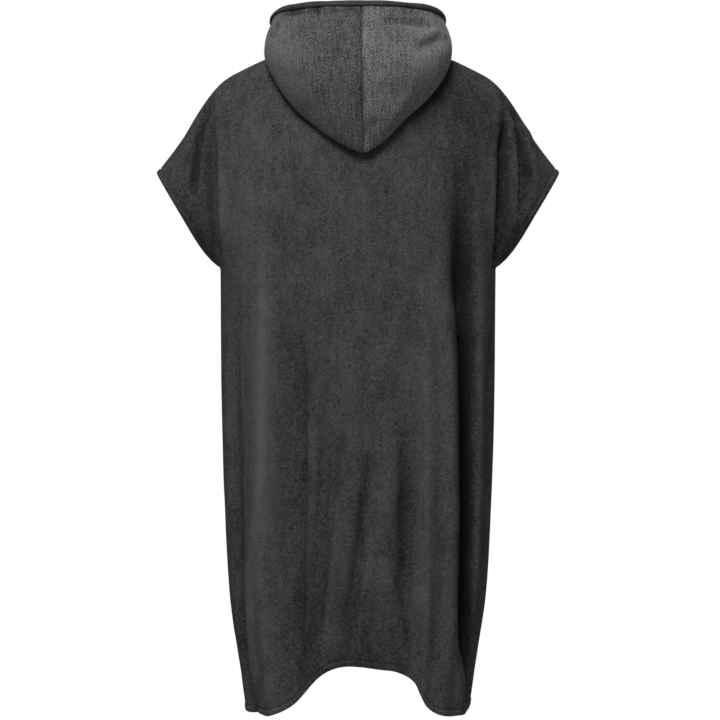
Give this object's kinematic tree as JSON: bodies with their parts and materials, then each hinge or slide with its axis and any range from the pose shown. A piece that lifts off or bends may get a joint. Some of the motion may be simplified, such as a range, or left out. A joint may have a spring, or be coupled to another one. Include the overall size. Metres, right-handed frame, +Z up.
{
  "type": "hooded bath poncho",
  "caption": "Worn short-sleeved terry bath poncho with a hood lying on the back, a hollow draped garment with a wavy hem.",
  "frame": {"origin": "foot of the neck on the wearer's centre line, level with the shoulders beside the hood, where the wearer's shoulders carry the garment", "axes": "+Z up, +Y towards the back of the garment, +X towards the wearer's left"},
  "size_m": [0.712, 0.3374, 1.2363],
  "materials": {
    "velour_back": "charcoal velour terry, soft short nap",
    "velour_front": "charcoal velour terry, soft short nap",
    "heather_left": "grey heather terry with fine vertical streaks",
    "heather_right": "grey heather terry with fine vertical streaks",
    "velour_roll": "charcoal velour, rolled hem"
  },
  "bodies": {
    "root": {"back_panel": "velour_back", "front_panel": "velour_front", "hood_left": "heather_left", "hood_right": "heather_right", "hood_hem": "velour_roll"}
  },
  "joints": []
}
